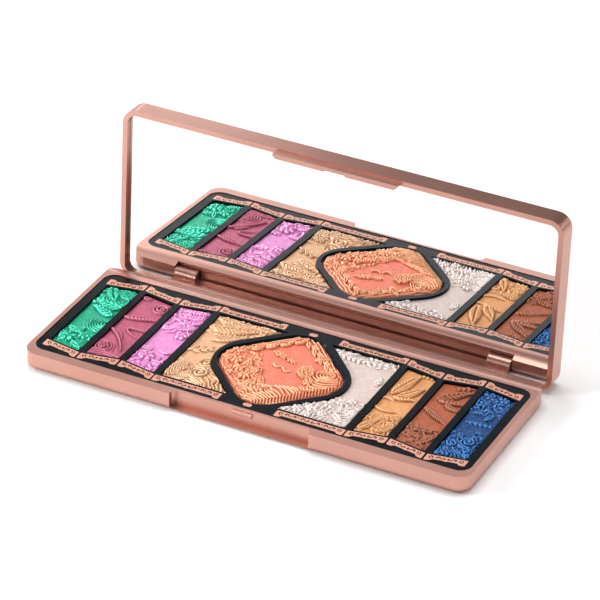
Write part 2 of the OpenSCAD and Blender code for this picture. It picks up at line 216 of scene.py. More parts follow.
    def sprig(self, x, y, angle, length, count=4, leaf=2.2, width=0.9, height=0.38, bend=0.0):
        """Stem with leaves on both sides."""
        c, s = math.cos(math.radians(angle)), math.sin(math.radians(angle))
        end = (x + length * c - bend * s, y + length * s + bend * c)
        middle = (x + length * c / 2 - bend * s / 3, y + length * s / 2 + bend * c / 3)
        self.stem([(x, y), middle, end], width * 0.35, height * 0.7)
        for n in range(count):
            share = (n + 0.6) / count
            px = x + (end[0] - x) * share
            py = y + (end[1] - y) * share
            size = leaf * (1.1 - 0.5 * share)
            for side in (-1, 1):
                self.leaf(px, py, angle + side * (48 - 14 * share), size, width, height, 4)

    def above(self, level, ripple=1.0, size=3.0):
        """Mask of the points behind a wavy line."""
        line = smooth_noise(self.x, np.zeros_like(self.x), size, self.seed + MASK_SEED)
        return self.y > level + ripple * line

    def below(self, level, ripple=1.0, size=3.0):
        """Mask of the points in front of a wavy line."""
        return ~self.above(level, ripple, size)


# ---- Motifs of the nine powders. x and y are measured from the middle of each opening. ----

def emboss_emerald(r):
    r.crumple(r.above(9.5, 2.0) | r.below(-9.0, 1.8))
    r.waves(6, -1.5, 1.0, 0.3, (np.hypot((r.x - 4) / 4.4, (r.y + 3.5) / 4.2) < 1), share=0.3)
    r.leaf(5.6, 8.5, 176, 11.5, 5.2, 0.62, 6, -0.12, 0.12)
    r.leaf(4.8, 3.2, 152, 10.0, 3.6, 0.55, 6, 0.12)
    r.leaf(-3.6, 19.5, -64, 9.5, 5.0, 0.6, 7, 0.1, 0.1)
    r.beads(2.6, 17.6, 3.4, 2.6, 0.34, 0.3, seed=1)
    r.leaf(-4.6, -8.5, -30, 6.5, 2.6, 0.5, 5, 0.15)
    r.flower(-2.2, -14.2, 3.1, 6, 0.6, 20)
    r.flower(2.6, -11.8, 2.1, 5, 0.5, 5)
    r.leaf(0.6, -16.8, -28, 5.4, 2.4, 0.5, 5)
    r.leaf(-0.8, -10.6, 70, 4.4, 2.0, 0.45, 4)


def emboss_rose(r):
    r.crumple(r.below(-12.5, 1.6), 1.5, 0.3)
    r.scroll(3.4, 14.6, 3.3, 1.35, 0.42, -1, 60)
    r.beads(-4.0, 18.6, 1.8, 1.0, 0.36, 0.34, seed=2)
    r.leaf(-5.6, 5.0, 14, 11.6, 2.4, 0.5, 9, -0.03)
    r.stem([(5.9, -0.2), (-0.6, -1.4), (5.9, -5.4)], 0.42, 0.42)
    r.stem([(-5.8, -3.0), (-0.5, -7.6), (3.6, -14.0)], 0.55, 0.5)
    r.leaf(-3.6, -3.6, -38, 6.0, 2.0, 0.42, 5, -0.1)
    r.waves(-3.2, -14.2, 1.1, 0.3, np.hypot(r.x + 3.2, r.y + 14.0) < 4.1, 0.2, 0.2)
    r.waves(0, -30, 1.15, 0.34, r.below(-16.4, 1.2), 0.7, 0.3)
    r.beads(-3.0, -13.6, 1.7, 2.0, 0.42, 0.45, seed=3)


def emboss_orchid(r):
    r.crumple(r.above(5.0, 1.8) | r.below(-9.5, 1.8), 1.6)
    for n, (x, y) in enumerate([(5.4, 18.8), (5.8, 15.6), (5.2, 12.4), (5.8, 9.4)]):
        r.leaf(x, y, 186 + 7 * n, 9.6 - n, 2.9, 0.5, 8, 0.06, 0.25)
    r.beads(-3.6, 19.0, 2.2, 1.6, 0.36, 0.32, seed=4)
    r.flower(3.0, 3.2, 2.3, 5, 0.46, 12)
    r.leaf(-1.2, 6.2, -160, 4.4, 1.9, 0.4, 5)
    r.flower(-1.4, -12.6, 3.0, 6, 0.55, 8)
    r.leaf(1.6, -8.6, 12, 4.4, 2.0, 0.42, 5)
    r.beads(-3.2, -8.2, 1.8, 1.2, 0.38, 0.36, seed=5)
    r.leaf(1.8, -14.8, -22, 5.0, 2.6, 0.5, 6)


def emboss_champagne(r):
    r.crumple(r.below(-9.5, 2.0, 5.0) | (r.above(9.0, 2.0) & (r.x < 6)), 2.0, 0.36)
    r.leaf(-12.6, 12.6, 12, 17.5, 6.6, 0.6, 13, 0.05, 0.15)
    r.leaf(-12.2, 18.6, -4, 15.0, 4.8, 0.5, 12, 0.02, 0.15)
    r.leaf(8.6, 20.0, 188, 10.5, 3.6, 0.5, 9, 0.0, 0.2)
    r.leaf(-8.6, 6.4, 24, 12.5, 3.6, 0.48, 9, 0.1)
    r.sprig(-12.4, -2.6, 34, 8.0, 3, 3.2, 1.5, 0.42, -0.8)
    r.waves(-3.2, -7.0, 1.3, 0.3, np.hypot((r.x + 1.5) / 4.6, (r.y + 8.5) / 5.0) < 1, 0.5, 0.1)
    r.waves(-4.0, -24.5, 1.25, 0.38, r.below(-12.5, 1.6, 5.0) & (r.x > -9.5), 1.0, 0.25)
    r.scroll(-2.4, -13.4, 3.4, 1.5, 0.4, 1)
    r.beads(-10.2, -14.6, 2.6, 5.0, 0.5, 0.5, -12, 6)
    r.beads(-6.2, -19.2, 2.6, 1.4, 0.42, 0.42, 10, 7)


def emboss_pearl(r):
    r.crumple(r.below(-4.5, 2.6, 4.5) | r.above(17.0, 1.4), 1.4)
    r.sprig(-11.5, 18.8, -6, 11.5, 6, 2.4, 1.1, 0.42, -0.6)
    r.sprig(1.0, 17.6, 8, 10.5, 5, 2.2, 1.0, 0.4, 0.6)
    r.sprig(-5.6, 15.8, -74, 8.0, 4, 2.0, 1.0, 0.38, 0.6)
    r.beads(10.6, 9.0, 1.1, 2.6, 0.36, 0.3, 0, 8)
    r.waves(12.5, -24.5, 1.15, 0.4, r.below(-9.0, 2.2, 4.5), 0.9, 0.3)
    for n, (x, y, size) in enumerate([
            (-9.4, -19.0, 2.0), (-5.6, -17.6, 2.3), (-1.4, -15.4, 2.5), (-4.8, -13.4, 1.6), (2.6, -11.2, 2.2),
            (5.6, -8.4, 1.9), (-1.6, -19.4, 1.8), (2.9, -16.6, 1.8), (8.6, -5.8, 1.7)]):
        r.flower(x, y, size, 5 + n % 2, 0.52, 25 * n)
    r.beads(0.4, -12.9, 1.6, 1.2, 0.34, 0.4, 20, 9)
    r.beads(7.2, -12.4, 2.6, 1.9, 0.4, 0.42, 30, 10)
    r.leaf(6.0, -15.0, -38, 6.4, 2.8, 0.46, 7)


def emboss_gold(r):
    r.crumple(r.below(-9.0, 1.6), 1.7, 0.4)
    r.leaf(-3.9, 4.6, 76, 15.0, 4.8, 0.62, 11, -0.06, 0.2)
    r.leaf(-1.6, 3.4, 48, 11.0, 4.2, 0.6, 8, 0.12, 0.12)
    r.leaf(-2.6, 3.0, 14, 7.4, 2.6, 0.55, 6, -0.1)
    r.sprig(5.4, 19.6, 190, 4.6, 3, 1.8, 0.9, 0.36)
    r.stem([(-5.4, 1.6), (-3.6, 1.9), (-1.6, 1.4)], 0.34, 0.34)
    r.stem([(-5.6, -4.2), (-1.8, -5.4), (2.0, -4.6)], 0.38, 0.38)
    r.leaf(-4.8, -18.6, 62, 9.0, 3.6, 0.55, 8, 0.05, 0.1)
    r.leaf(1.0, -17.6, 44, 7.6, 3.2, 0.55, 7, 0.05)
    r.beads(2.6, -8.2, 2.4, 1.9, 0.42, 0.46, 20, 11)
    r.flower(3.6, -12.4, 1.7, 5, 0.5, 10)


def emboss_bronze(r):
    r.crumple(r.below(-8.0, 1.8, 3.4), 1.8, 0.45)
    r.leaf(-3.6, 8.6, 40, 12.5, 3.4, 0.62, 8, 0.06)
    r.leaf(-2.8, 8.0, 12, 9.2, 2.8, 0.58, 7, -0.1, 0.15)
    r.leaf(0.0, 6.8, -26, 6.4, 2.0, 0.5, 6, 0.12)
    r.sprig(4.6, 19.4, 205, 5.0, 3, 1.9, 0.9, 0.4)
    r.leaf(-5.2, 2.6, -34, 12.4, 3.0, 0.5, 12, 0.05, 0.55)
    r.beads(-0.4, -9.8, 4.6, 1.2, 0.5, 0.42, 14, 12)
    r.leaf(-4.6, -12.4, -20, 6.2, 2.4, 0.45, 6)
    r.leaf(4.6, -12.6, -120, 6.4, 2.6, 0.45, 6)


def emboss_sapphire(r):
    r.crumple(r.above(8.0, 1.6) | r.below(-4.5, 1.8), 1.4, 0.5)
    r.flower(-2.6, 12.4, 1.8, 5, 0.5, 8)
    r.flower(2.4, 17.4, 1.9, 5, 0.5, 30)
    r.leaf(1.2, 4.6, 66, 4.6, 2.0, 0.5, 4)
    r.sprig(-3.8, 1.4, 4, 8.4, 5, 1.5, 0.75, 0.36)
    r.waves(-5.0, -22.5, 1.2, 0.42, r.below(-15.0, 1.8), 1.2, 0.25)
    r.scroll(1.8, -9.6, 2.7, 1.25, 0.45, 1, 40)
    r.scroll(-2.6, -12.2, 2.3, 1.15, 0.45, -1, 200)
    r.scroll(3.6, -14.6, 1.9, 1.0, 0.45, -1, 90)
    r.flower(-2.2, -18.0, 2.1, 6, 0.5, 14)


def emboss_coral(r):
    """A garland round a smooth middle, fans at the right, clusters of grains and flowers at the left."""
    across = np.maximum(np.abs(r.x - r.y), np.abs(r.x + r.y)) / math.sqrt(2)
    depth = CENTRE_A - across
    drift = 0.4 * smooth_noise(r.x, r.y, 3.0, CORAL_DRIFT_SEED)
    rim = 0.5 + 0.5 * np.cos(2 * math.pi * (depth + drift) / 1.3)
    border = 3.3 + 0.6 * smooth_noise(r.x, r.y, 5.0, CORAL_EDGE_SEED)
    r.lay(0.36 * rim ** 1.4, depth < border)
    r.crumple((r.x + 0.55 * r.y < -6.5) & (depth > 0.8), 1.6, 0.45)
    r.waves(15.5, 3.5, 1.15, 0.42, np.hypot((r.x - 15.6) / 4.8, (r.y + 0.6) / 7.0) < 1, 0.8, 0.1)
    r.waves(-4, -30, 1.15, 0.42, (r.y < -11 + 0.35 * r.x) & (depth > 0.9), 1.2, 0.2)
    fringe = 0.5 + 0.5 * np.cos(2 * math.pi * (r.x + 0.35 * r.y) / 1.05)
    r.lay(0.45 * fringe ** 1.5, (r.x - r.y > 16) & (depth < 2.8) & (r.x > 1))
    for n in range(11):
        share = n / 10
        r.leaf(-19.4 + 18.0 * share, 1.0 + 17.0 * share, 66 - 38 * (n % 2), 3.9, 1.9, 0.55, 3, 0.05)
    for n in range(9):
        share = n / 8
        r.leaf(0.6 + 15.0 * share, 18.8 - 13.0 * share, -58 + 42 * (n % 2), 4.2, 1.9, 0.55, 3, -0.05)
    for n, (x, y, size) in enumerate([
            (-15.0, -2.0, 2.1), (-12.2, -5.8, 2.3), (-8.8, -9.0, 2.3), (-10.6, -2.2, 1.6),
            (-6.8, -5.6, 1.7), (-4.8, -12.6, 2.2), (-0.8, -14.2, 2.0)]):
        r.flower(x, y, size, 5 + n % 3, 0.6, 20 * n)
    r.beads(-9.0, -4.6, 4.2, 1.6, 0.40, 0.42, -40, 14)
    r.beads(-3.8, -9.4, 3.4, 1.2, 0.40, 0.42, -30, 15)
    r.beads(8.4, 1.6, 2.8, 3.6, 0.54, 0.62, 20, 16)
    r.beads(11.4, -3.2, 1.5, 2.0, 0.44, 0.5, 10, 17)
    r.beads(-3.6, 7.4, 3.0, 0.9, 0.42, 0.45, -16, 18)
    r.beads(1.2, 5.6, 2.0, 0.6, 0.40, 0.40, -14, 19)
    r.stem([(-3.4, 1.6), (-2.0, 0.6), (-0.4, 1.4)], 0.42, 0.34)
    r.stem([(0.4, 0.6), (1.8, -0.5), (3.4, 0.2)], 0.42, 0.34)
    r.leaf(7.4, 9.4, 44, 7.0, 3.0, 0.55, 9, -0.06, 0.15)
    r.leaf(10.6, -7.6, 12, 6.2, 3.0, 0.6, 6, 0.1)


# ---- Powder meshes ----

GRID_STEP = 0.14        # distance between a grid's points
RELIEF_SCALE = 2.1      # height of the relief, as a share of the motifs' own heights
RIDGE_REACH = 4         # cells round a point that its height is compared with
RIDGE_RANGE = 0.5       # difference from them that counts as a full ridge
LUMPS = (0.035, 1.1)    # height and size of the soft lumps over the whole powder
GRAIN = (0.014, 0.35)   # the same of its grain
EDGE_ROUND = 0.45       # width of the rounding along a powder's edge
EDGE_FALL = 0.28        # depth of that rounding
EDGE_RELIEF = 0.35      # share of the relief that is left at the very edge
EDGE_FADE = 0.8         # width over which the relief grows by its full height, from the edge inwards
CROWN_WIDTH = 7.0       # width over which a crowned powder swells
RING_NEAR_X = 12.0      # about where the wide openings start, from the middle
WIDE_ORIGIN = 13.0      # from a wide opening's outer edge to the point that its motifs are measured from


def spread(reach):
    """Shares from -1 to 1, a grid step apart over a reach to each side."""
    return np.linspace(-1, 1, int(2 * reach / GRID_STEP) + 1)


def corner_drop(offset, radius):
    """How far a round corner falls back at an offset from where it starts."""
    inside = np.clip(offset, 0, radius)
    return radius - np.sqrt(radius ** 2 - inside ** 2)


def narrow_grid(node, slope_sign):
    """Points of a four-sided powder with slanted ends, and their distance from its edge."""
    low, high = box_mm(node)
    half_w = (high[0] - low[0]) / 2 - POWDER_LAP - EDGE_GAP
    long_reach = (high[1] - low[1]) / 2 - POWDER_LAP - EDGE_GAP
    s, t = np.meshgrid(spread(half_w), spread(long_reach))
    x = s * half_w
    slope = slope_sign * END_SLANT / (2 * half_w)
    reach = long_reach - END_SLANT / 2 + slope * x - corner_drop(np.abs(x) - half_w + CORNER_R, CORNER_R)
    y = t * reach
    edge = np.minimum((1 - np.abs(s)) * half_w, (1 - np.abs(t)) * reach)
    return x, y, edge, (low[0] + high[0]) / 2


def ring_x(y):
    """The ring's outer edge on the right, at a distance y from the insert's middle line."""
    centre = (RING_A - RING_R) * math.sqrt(2)
    round_part = centre + np.sqrt(np.clip(RING_R ** 2 - y ** 2, 0, None))
    return np.where(np.abs(y) < RING_R / math.sqrt(2), round_part, RING_A * math.sqrt(2) - np.abs(y))


def wide_grid(node, side):
    """Points of a wide powder, which the ring cuts into, and their distance from its edge."""
    low, high = box_mm(node)
    outer = max(abs(low[0]), abs(high[0])) - POWDER_LAP - EDGE_GAP
    y_low = low[1] + POWDER_LAP + EDGE_GAP
    y_high = high[1] - POWDER_LAP - EDGE_GAP
    reach = (y_high - y_low) / 2
    rows = spread(reach)
    middle = (y_low + y_high) / 2
    y = middle + rows * reach
    inner_x = ring_x(y - INSERT_Y) + EDGE_GAP
    outer_x = outer - corner_drop(np.abs(y - middle) - reach + CORNER_R, CORNER_R)
    columns = spread((outer - RING_NEAR_X) / 2)
    s, t = np.meshgrid(columns, rows)
    x = ((1 - s) * inner_x[:, None] + (1 + s) * outer_x[:, None]) / 2
    width = (outer_x - inner_x)[:, None]
    edge = np.minimum((1 - np.abs(s)) * width / 2, (1 - np.abs(t)) * reach)
    centre_x = side * (outer - WIDE_ORIGIN)
    if side < 0:
        x = -x[:, ::-1]
        edge = edge[:, ::-1]
    return x - centre_x, np.broadcast_to(y[:, None], x.shape) - INSERT_Y, edge, centre_x


def centre_grid():
    """Points of the centre powder: a square with round corners, turned by 45 degrees."""
    a, r = CENTRE_A - CENTRE_GAP, CENTRE_R - CENTRE_GAP
    rows = spread(a)
    reach = a - corner_drop(np.abs(rows * a) - a + r, r)
    s, t = np.meshgrid(spread(a), rows)
    u, v = s * reach[:, None], t * a
    edge = np.minimum((1 - np.abs(s)) * reach[:, None], (1 - np.abs(t)) * a)
    return (u - v) / math.sqrt(2), (u + v) / math.sqrt(2), edge, 0.0


def grid_mesh(name, x, y, z, floor_z, fields):
    """Closed mesh: the grid on top, a wall round it and a flat underside. Fields become point attributes."""
    rows, columns = x.shape
    top = np.stack([x, y, z], axis=-1).reshape(-1, 3)
    index = np.arange(rows * columns).reshape(rows, columns)
    quads = np.stack([index[:-1, :-1], index[:-1, 1:], index[1:, 1:], index[1:, :-1]], axis=-1)
    quads = quads.reshape(-1, 4)
    loop = np.concatenate([index[0, :-1], index[:-1, -1], index[-1, :0:-1], index[:0:-1, 0]])
    foot = top[loop].copy()
    foot[:, 2] = floor_z
    low = np.arange(len(loop)) + len(top)
    wall = np.stack([loop, low, np.roll(low, -1), np.roll(loop, -1)], axis=-1)
    mesh = bpy.data.meshes.new(name)
    points = np.concatenate([top, foot]) * MM
    mesh.from_pydata(points.tolist(), [], quads.tolist() + wall.tolist() + [low[::-1].tolist()])
    mesh.polygons.foreach_set("use_smooth", [True] * len(quads) + [False] * (len(wall) + 1))
    for field, values in fields.items():
        attribute = mesh.attributes.new(field, "FLOAT", "POINT")
        attribute.data.foreach_set("value", np.concatenate([values.ravel(), np.zeros(len(foot))]))
    mesh.update()
    piece = bpy.data.objects.new(name, mesh)
    bpy.context.scene.collection.objects.link(piece)
    return piece


def blurred(field, reach):
    """Field averaged over the cells within reach, along both axes."""
    for axis in (0, 1):
        pad = [(reach, reach) if a == axis else (0, 0) for a in (0, 1)]
        padded = np.pad(field, pad, mode="edge")
        cells = np.arange(field.shape[axis])
        count = 2 * reach + 1
        field = sum(np.take(padded, cells + k, axis=axis) for k in range(count)) / count
    return field


def powder(shade, grid, emboss, seed, material, crown=0.0):
    """One embossed powder in place of its plain CAD solid."""
    x, y, edge, centre_x = grid
    relief = Relief(x, y, seed)
    emboss(relief)
    detail = (RELIEF_SCALE * relief.h + LUMPS[0] * smooth_noise(x, y, LUMPS[1], seed + LUMPS_SEED)
              + GRAIN[0] * smooth_noise(x, y, GRAIN[1], seed + GRAIN_SEED))
    # Height above the local mean: the powder material paints shade in the hollows and a highlight on the
    # ridges from it
    ridge = 0.5 + (detail - blurred(detail, RIDGE_REACH)) / RIDGE_RANGE
    soft = np.clip(edge / EDGE_ROUND, 0, 1)
    rounding = -EDGE_FALL * (1 - np.sqrt(np.clip(1 - (1 - soft) ** 2, 0, 1)))
    swell = crown * np.clip(edge / CROWN_WIDTH, 0, 1) ** 0.6
    z = CAKE_Z + swell + detail * np.clip(EDGE_RELIEF + edge / EDGE_FADE, 0, 1) + rounding
    piece = grid_mesh(f"powder_{shade}_cake", x + centre_x, y + INSERT_Y, z, POWDER_FLOOR_Z,
                      {"relief": detail, "ridge": ridge})
    piece.data.materials.append(material)
    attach(piece, "base")
    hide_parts(f"powder_{shade}")


# ---- Materials ----

MIX_A, MIX_B, MIX_RESULT = 6, 7, 2      # colour sockets of the mix node


class Shader:
    """A principled material and short ways to add nodes to it."""

    def __init__(self, name, roughness, metallic=0.0, **sockets):
        self.material = bpy.data.materials.new(name)
        self.material.use_nodes = True
        self.nodes = self.material.node_tree.nodes
        self.links = self.material.node_tree.links
        self.bsdf = self.nodes["Principled BSDF"]
        self.bsdf.inputs["Roughness"].default_value = roughness
        self.bsdf.inputs["Metallic"].default_value = metallic
        for socket, value in sockets.items():
            self.bsdf.inputs[socket.replace("_", " ")].default_value = value
        self.place = self.nodes.new("ShaderNodeTexCoord").outputs["Object"]

    def noise(self, size, detail=3.0, stretch=None):
        """Noise with features about size millimetres across, stretched by a factor along each axis."""
        node = self.nodes.new("ShaderNodeTexNoise")
        node.inputs["Scale"].default_value = 1 / (size * MM)
        node.inputs["Detail"].default_value = detail
        source = self.place
        if stretch:
            mapping = self.nodes.new("ShaderNodeMapping")
            mapping.inputs["Scale"].default_value = stretch
            self.links.new(self.place, mapping.inputs["Vector"])
            source = mapping.outputs["Vector"]
        self.links.new(source, node.inputs["Vector"])
        return node.outputs["Fac"]

    def flakes(self, size):
        """Random value for each flake of about size millimetres."""
        node = self.nodes.new("ShaderNodeTexVoronoi")
        node.inputs["Scale"].default_value = 1 / (size * MM)
        self.links.new(self.place, node.inputs["Vector"])
        return node.outputs["Color"]

    def ramp(self, value, stops):
        """Colours or greys at positions along a value."""
        node = self.nodes.new("ShaderNodeValToRGB")
        ramp = node.color_ramp
        while len(ramp.elements) < len(stops):
            ramp.elements.new(0.5)
        for element, (position, colour) in zip(ramp.elements, stops):
            element.position = position
            element.color = (*colour, 1) if isinstance(colour, tuple) else (colour, colour, colour, 1)
        self.links.new(value, node.inputs["Fac"])
        return node.outputs["Color"]

    def attribute(self, name):
        """Value of one of a mesh's point attributes."""
        node = self.nodes.new("ShaderNodeAttribute")
        node.attribute_name = name
        return node.outputs["Fac"]

    def mix(self, share, a, b):
        """Two colours mixed by a fixed or linked share."""
        node = self.nodes.new("ShaderNodeMix")
        node.data_type = "RGBA"
        self.feed(share, node.inputs["Factor"])
        self.feed(a, node.inputs[MIX_A])
        self.feed(b, node.inputs[MIX_B])
        return node.outputs[MIX_RESULT]

    def calculate(self, operation, a, b):
        """Result of a math node on two values or outputs."""
        node = self.nodes.new("ShaderNodeMath")
        node.operation = operation
        self.feed(a, node.inputs[0])
        self.feed(b, node.inputs[1])
        return node.outputs[0]

    def feed(self, value, socket):
        """Links an output, or sets a plain value."""
        if isinstance(value, bpy.types.NodeSocket):
            self.links.new(value, socket)
        elif isinstance(value, tuple):
            socket.default_value = (*value, 1)
        else:
            socket.default_value = value

    def bump(self, height, distance, strength=1.0):
        """Bump whose full height is distance millimetres."""
        node = self.nodes.new("ShaderNodeBump")
        node.inputs["Distance"].default_value = distance * MM
        node.inputs["Strength"].default_value = strength
        self.links.new(height, node.inputs["Height"])
        self.links.new(node.outputs["Normal"], self.bsdf.inputs["Normal"])

    def colour(self, value):
        self.feed(value, self.bsdf.inputs["Base Color"])

    def rough(self, value):
        self.feed(value, self.bsdf.inputs["Roughness"])


def satin_metal(name, light, dark, roughness, grain=0.12, **sockets):
    """Satin metallic coating: a slow drift of colour and a fine grain."""
    shader = Shader(name, roughness, **sockets)
    drift = shader.noise(18, 2)
    shader.colour(shader.ramp(drift, [(0.3, dark), (0.7, light)]))
    fine = shader.noise(grain, 2)
    shader.rough(shader.ramp(fine, [(0.3, roughness - 0.05), (0.7, roughness + 0.06)]))
    shader.bump(fine, 0.004, 0.5)
    return shader.material


def brushed_metal(name, light, dark, roughness, stretch):
    """Bare metal with fine lines."""
    shader = Shader(name, roughness, 1.0)
    lines = shader.noise(0.3, 3, stretch)
    shader.colour(shader.ramp(lines, [(0.3, dark), (0.7, light)]))
    shader.bump(lines, 0.006, 0.6)
    return shader.material


def moulded(name, light, dark, roughness, size=0.6, height=0.006, **sockets):
    """Moulded plastic, board or film: faint mottling over a fine texture."""
    shader = Shader(name, roughness, **sockets)
    spots = shader.noise(size, 4)
    shader.colour(shader.ramp(spots, [(0.35, dark), (0.65, light)]))
    shader.rough(shader.ramp(shader.noise(6, 3), [(0.3, roughness - 0.04), (0.7, roughness + 0.05)]))
    shader.bump(shader.noise(size / 3, 2), height, 0.4)
    return shader.material


def mirror_glass():
    """Silvered glass with a very faint drift of its tint."""
    shader = Shader("silvered_glass", 0.0, 1.0)
    haze = shader.noise(25, 2)
    shader.colour(shader.ramp(haze, [(0.2, (0.86, 0.875, 0.88)), (0.8, (0.88, 0.895, 0.90))]))
    return shader.material


def powder_material(shade, hollow_shade, base, raised, light, shimmer, roughness, glitter):
    """Pressed powder: another shade on its relief, painted shade in its hollows, a painted highlight on its
    ridges, and flakes painted pale as painted glints.
    """
    shader = Shader(f"powder_{shade}", roughness)
    height = shader.attribute("relief")
    ridge = shader.attribute("ridge")
    body = shader.ramp(height, [(0.08, base), (0.40, raised)])
    gleam = shader.ramp(height, [(0.05, 0.55 * shimmer), (0.45, shimmer)])
    shader.feed(gleam, shader.bsdf.inputs["Metallic"])
    body = shader.mix(shader.ramp(shader.noise(1.6, 4), [(0.35, 0.22), (0.62, 0.0)]), body, hollow_shade)
    # Painted shade: hollows are mixed towards the dark hollow colour
    body = shader.mix(shader.ramp(ridge, [(0.12, 0.85), (0.46, 0.0)]), body, hollow_shade)
    # Painted highlight: ridges are mixed towards the pale ridge colour
    body = shader.mix(shader.ramp(ridge, [(0.56, 0.0), (0.92, 0.8)]), body, light)
    flake = shader.flakes(0.14)
    split = shader.nodes.new("ShaderNodeSeparateColor")
    shader.links.new(flake, split.inputs["Color"])
    # Painted glints: random flakes are painted pale, towards the ridge colour
    painted_glint = shader.ramp(split.outputs["Red"], [(0.80, 0.0), (0.97, glitter)])
    shader.colour(shader.mix(painted_glint, body, tuple(min(1.0, 0.12 + c) for c in light)))
    shader.rough(shader.ramp(split.outputs["Green"], [(0.0, roughness - 0.10), (1.0, roughness + 0.14)]))
    grain = shader.noise(0.16, 4)
    lift = shader.calculate("MULTIPLY", split.outputs["Blue"], 0.6 * glitter + 0.15)
    shader.bump(shader.calculate("ADD", grain, lift), 0.05, 0.55)
    return shader.material


ROSE_LIGHT, ROSE_DARK = (0.66, 0.375, 0.31), (0.62, 0.34, 0.28)

SHELL = satin_metal("rose_gold_satin", ROSE_LIGHT, ROSE_DARK, 0.36, metallic=0.95,
                    Coat_Weight=0.25, Coat_Roughness=0.2)
INSERT = moulded("blue_black_gloss", (0.006, 0.0105, 0.015), (0.0045, 0.008, 0.0115), 0.22, 1.2, 0.002,
                 Specular_IOR_Level=0.22)
FOIL = satin_metal("copper_foil", (0.80, 0.42, 0.31), (0.74, 0.37, 0.27), 0.4, 0.09, metallic=0.35)
TIN = brushed_metal("pressed_tin", (0.70, 0.70, 0.71), (0.58, 0.58, 0.60), 0.34, (1, 6, 1))
PIN = brushed_metal("drawn_steel", (0.62, 0.62, 0.64), (0.50, 0.50, 0.52), 0.28, (0.1, 1, 1))
BOARD = moulded("backing_board", (0.065, 0.065, 0.072), (0.045, 0.045, 0.05), 0.7, 0.4, 0.03)
GLUE = moulded("adhesive_film", (0.78, 0.76, 0.68), (0.70, 0.67, 0.60), 0.45, 0.8, 0.02)
MIRROR = mirror_glass()

CAD_MATERIALS = {
    "base_shell": SHELL, "lid_shell": SHELL, "insert_frame": INSERT, "pan_adhesive": GLUE,
    "mirror_adhesive": GLUE, "mirror_board": BOARD, "mirror": MIRROR,
    "hinge_pin_left": PIN, "hinge_pin_right": PIN,
}


def dress_cad_nodes():
    """Gives every carried-over CAD node its material."""
    for name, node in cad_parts.items():
        if name.startswith("powder_"):
            continue
        node.data.materials.clear()
        node.data.materials.append(TIN if name.startswith("pan_") and name != "pan_adhesive"
                                   else CAD_MATERIALS[name])


# Painted shade in the hollows, colours of the ground and of the relief, painted highlight on the ridges, then
# shimmer, roughness and glitter
POWDERS = {
    "emerald": ((0.001, 0.12, 0.07), (0.006, 0.42, 0.23), (0.010, 0.46, 0.28), (0.18, 0.88, 0.66),
                0.6, 0.34, 0.6),
    "rose": ((0.18, 0.02, 0.045), (0.52, 0.125, 0.21), (0.46, 0.10, 0.17), (0.70, 0.27, 0.36),
             0.15, 0.46, 0.2),
    "orchid": ((0.38, 0.04, 0.24), (0.80, 0.30, 0.62), (0.72, 0.20, 0.50), (0.97, 0.66, 0.88),
               0.35, 0.38, 0.5),
    "champagne": ((0.34, 0.14, 0.045), (0.80, 0.45, 0.26), (0.74, 0.39, 0.21), (0.98, 0.75, 0.54),
                  0.35, 0.38, 0.4),
    "coral": ((0.46, 0.075, 0.025), (0.84, 0.235, 0.16), (0.87, 0.27, 0.16), (1.0, 0.67, 0.41),
              0.35, 0.38, 0.3),
    "pearl": ((0.36, 0.25, 0.215), (0.72, 0.585, 0.54), (0.75, 0.63, 0.59), (0.97, 0.90, 0.87),
              0.4, 0.38, 0.5),
    "gold": ((0.28, 0.10, 0.03), (0.74, 0.355, 0.15), (0.70, 0.345, 0.14), (0.92, 0.58, 0.33),
             0.15, 0.44, 0.2),
    "bronze": ((0.08, 0.018, 0.008), (0.45, 0.13, 0.058), (0.34, 0.095, 0.043), (0.58, 0.27, 0.17),
               0.2, 0.44, 0.2),
    "sapphire": ((0.001, 0.006, 0.03), (0.003, 0.052, 0.19), (0.003, 0.045, 0.17), (0.09, 0.32, 0.72),
                 0.45, 0.3, 0.6),
}


def make_powders():
    """The nine embossed powders; the two numbers per side are the first slant and the first seed."""
    looks = {shade: powder_material(shade, *values) for shade, values in POWDERS.items()}
    emboss = {
        "emerald": emboss_emerald, "rose": emboss_rose, "orchid": emboss_orchid,
        "gold": emboss_gold, "bronze": emboss_bronze, "sapphire": emboss_sapphire,
    }
    for shades, first_lean, first_seed in ((LEFT_SHADES, 1, 11), (RIGHT_SHADES, -1, 21)):
        for n, shade in enumerate(shades):
            lean = first_lean if n % 2 == 0 else -first_lean
            grid = narrow_grid(f"powder_{shade}", lean)
            powder(shade, grid, emboss[shade], first_seed + n, looks[shade])
    powder("champagne", wide_grid("powder_champagne", -1), emboss_champagne, 31, looks["champagne"])
    powder("pearl", wide_grid("powder_pearl", 1), emboss_pearl, 32, looks["pearl"])
    powder("coral", centre_grid(), emboss_coral, 33, looks["coral"], 0.75)


# ---- Foil ornament on the insert ----

FOIL_T = 0.03           # thickness of the foil
BAR_GAP = 0.9           # from an opening's end to its bar
BAR_END = 3.3           # height of a bar at its ends
BAR_MIDDLE = 2.5        # height of a bar between its ends
BAR_STEP_X = 2.2        # where a bar's end part stops
BAR_SPLIT = 0.75        # gap between neighbouring bars
BOW_REACH = 0.95        # from a bar's middle to the end of its bow-shaped cut-out
BOW_H = 0.75            # half the height of that cut-out at its ends
BOW_KNOT = 0.12         # half the foil between the two halves of that cut-out
BOW_GAP = 0.15          # from that cut-out to the curls beside it
CURLS_START = 2.85      # from a bar's end to its curls
WIDE_BAR_PAST = 0.85    # how far a wide bar reaches past its CAD powder's outer edge
WIDE_BAR_START = 10.0   # where a wide bar starts, from the middle
WIDE_BAR_NEARER = 0.2   # how much nearer to their openings the wide bars at the back lie
DIAMOND_Y = 23.75       # from the insert's middle line to the middle of a diamond
DIAMOND_W, DIAMOND_H = 1.55, 0.95           # half a diamond's width and height
DIAMOND_FLAT_W, DIAMOND_FLAT_H = 1.0, 0.25  # half the length of its flat sides and ends


